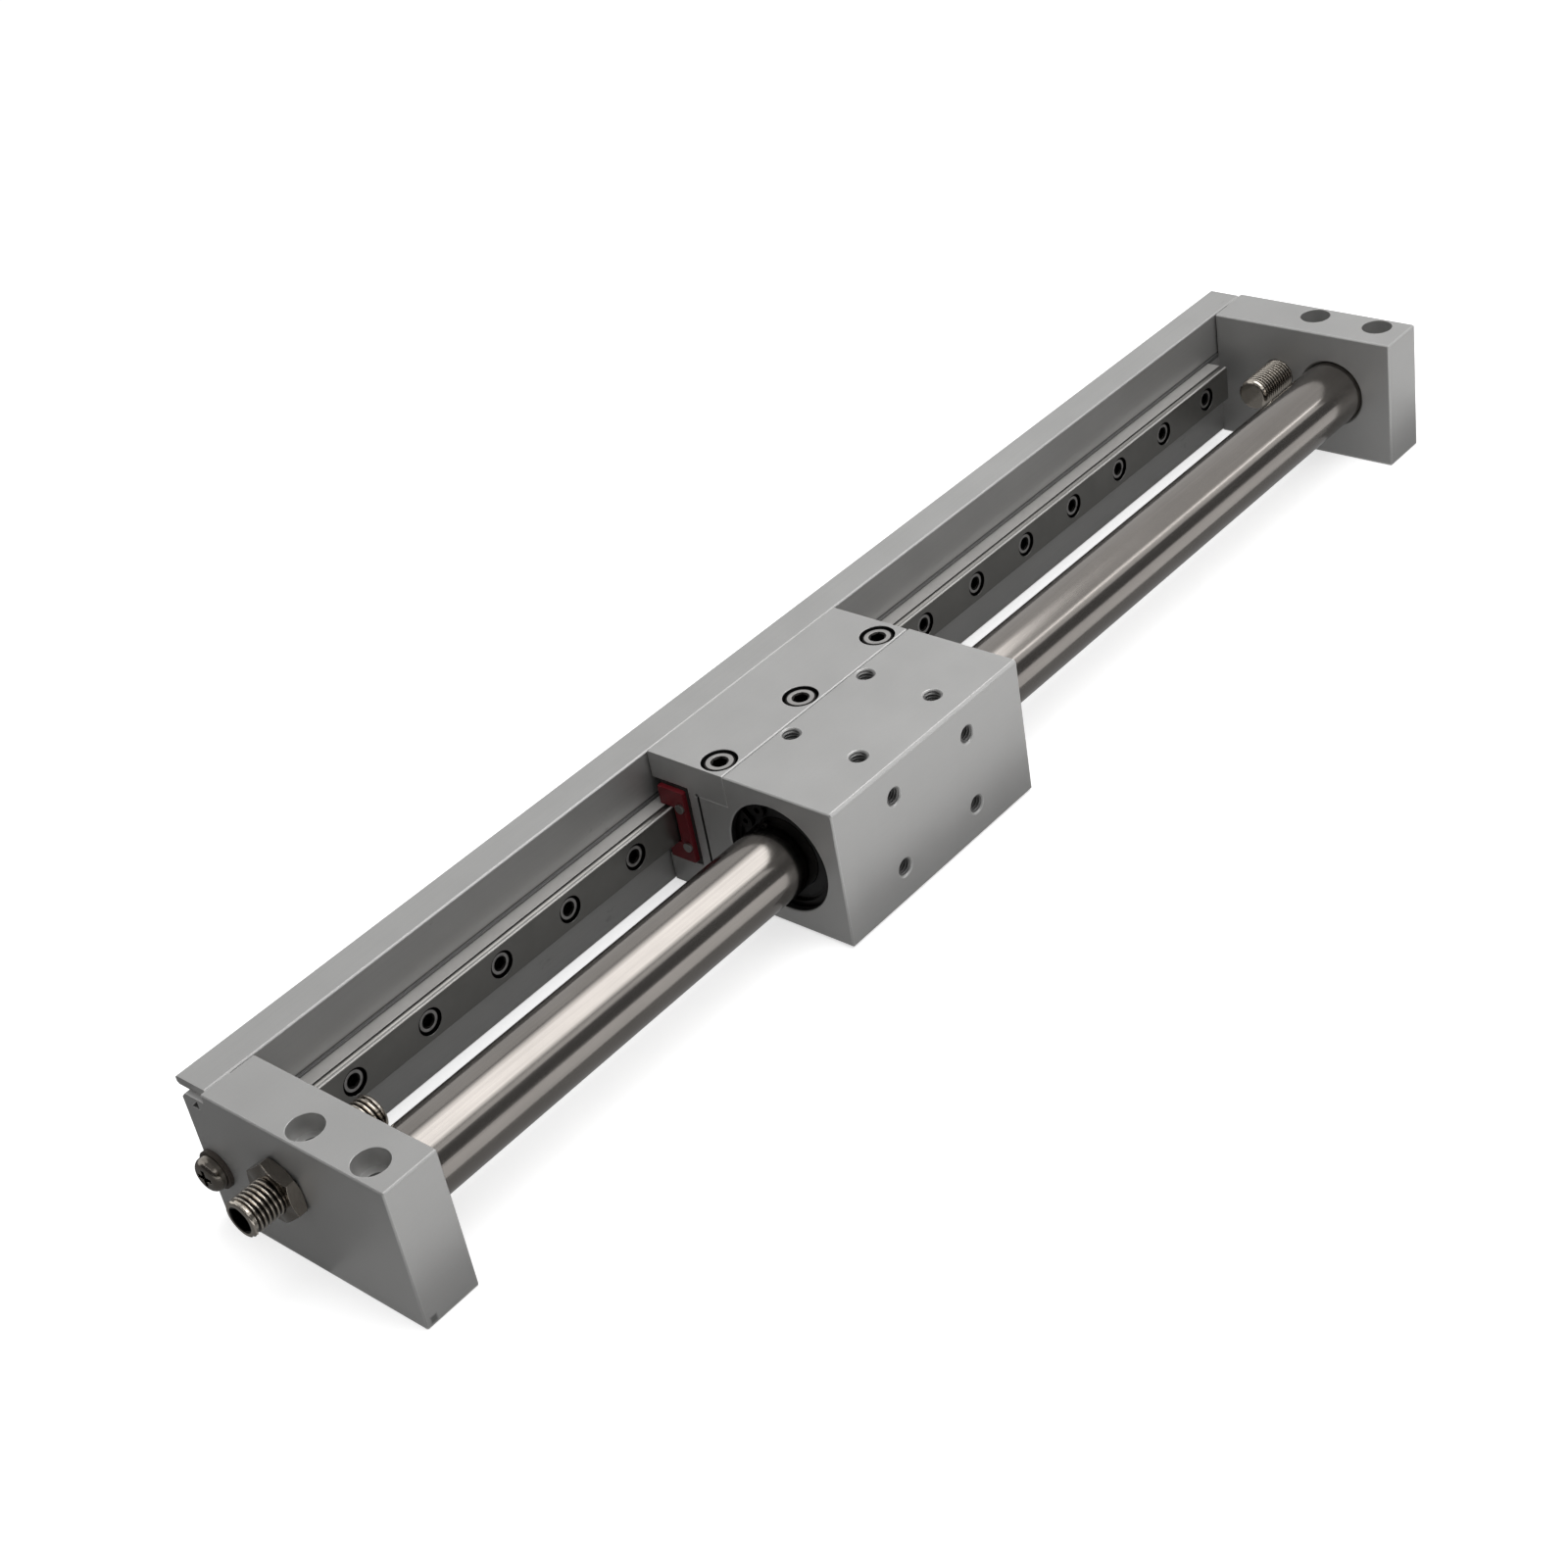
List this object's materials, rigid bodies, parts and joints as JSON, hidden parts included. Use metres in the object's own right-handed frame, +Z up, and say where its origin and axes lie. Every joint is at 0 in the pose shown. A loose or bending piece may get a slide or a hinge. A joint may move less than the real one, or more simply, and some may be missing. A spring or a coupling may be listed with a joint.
{
  "type": "guided rodless cylinder",
  "caption": "Magnetically coupled rodless air cylinder with a slider block that runs on a tube and a miniature guide rail, between end blocks with adjustable stop bolts.",
  "frame": {"origin": "in the base plane, at the centre of the four mounting holes, under the tube", "axes": "+X along the stroke towards the end block with the open ports, +Y towards the side frame, +Z up"},
  "size_m": [0.3738, 0.0593, 0.034],
  "materials": {
    "anodised_frame": "satin anodised",
    "anodised_block": "satin anodised",
    "anodised_slider": "satin anodised",
    "turned_aluminium": "turned",
    "ground_steel": "ground",
    "rail_steel": "ground",
    "screw_steel": "satin",
    "bearing_steel": "polished",
    "spring_steel": "phosphated",
    "yoke_steel": "turned",
    "magnet": "dull",
    "nickel": "nickel plated",
    "gasket": "matt",
    "black_rubber": "matt",
    "dark_plastic": "matt",
    "bearing_plastic": "matt",
    "red_seal": "matt"
  },
  "bodies": {
    "frame": {"side_frame": "anodised_frame", "left_end_block": "anodised_block", "right_end_block": "anodised_block", "cylinder_tube": "ground_steel", "left_tube_seal": "black_rubber", "right_tube_seal": "black_rubber", "passage_seals": "black_rubber", "frame_screws": "screw_steel", "guide_rail": "rail_steel", "guide_rail_screws": "screw_steel", "left_lock_nut": "nickel", "right_lock_nut": "nickel", "port_plug": "nickel", "port_plug_gasket": "gasket"},
    "slider": {"slider_block": "anodised_slider", "guide_bracket": "anodised_slider", "bracket_screws": "screw_steel", "left_carriage_block": "rail_steel", "right_carriage_block": "rail_steel", "left_carriage_caps": "dark_plastic", "right_carriage_caps": "dark_plastic", "left_carriage_seals": "red_seal", "right_carriage_seals": "red_seal", "seal_screws": "screw_steel", "left_carriage_balls": "bearing_steel", "right_carriage_balls": "bearing_steel", "carriage_screws": "screw_steel", "left_snap_ring": "spring_steel", "right_snap_ring": "spring_steel", "left_end_holder": "dark_plastic", "right_end_holder": "dark_plastic", "left_scraper": "black_rubber", "right_scraper": "black_rubber", "left_slider_bearing": "bearing_plastic", "right_slider_bearing": "bearing_plastic", "slider_magnets": "magnet", "slider_yokes": "yoke_steel"},
    "piston": {"piston_shaft": "ground_steel", "piston_magnets": "magnet", "piston_yokes": "yoke_steel", "left_piston_head": "turned_aluminium", "right_piston_head": "turned_aluminium", "left_piston_seal": "black_rubber", "right_piston_seal": "black_rubber", "left_piston_bearing": "bearing_plastic", "right_piston_bearing": "bearing_plastic", "left_bumper": "black_rubber", "right_bumper": "black_rubber", "shaft_nuts": "yoke_steel"},
    "left_stop": {"left_stop_bolt": "nickel"},
    "right_stop": {"right_stop_bolt": "nickel"}
  },
  "joints": [
    {"name": "slider_slide", "type": "slide", "parent": "frame", "child": "slider", "axis": [1, 0, 0], "range_m": [-0.09895, 0.14495]},
    {"name": "piston_slide", "type": "slide", "parent": "frame", "child": "piston", "axis": [1, 0, 0], "range_m": [-0.09895, 0.14495]},
    {"name": "left_stop_setting", "type": "slide", "parent": "frame", "child": "left_stop", "axis": [-1, 0, 0], "range_m": [0, 0.005]},
    {"name": "right_stop_setting", "type": "slide", "parent": "frame", "child": "right_stop", "axis": [1, 0, 0], "range_m": [0, 0.005]}
  ],
  "couplings": [
    {"joint": "piston_slide", "follows": "slider_slide", "ratio": 1}
  ]
}
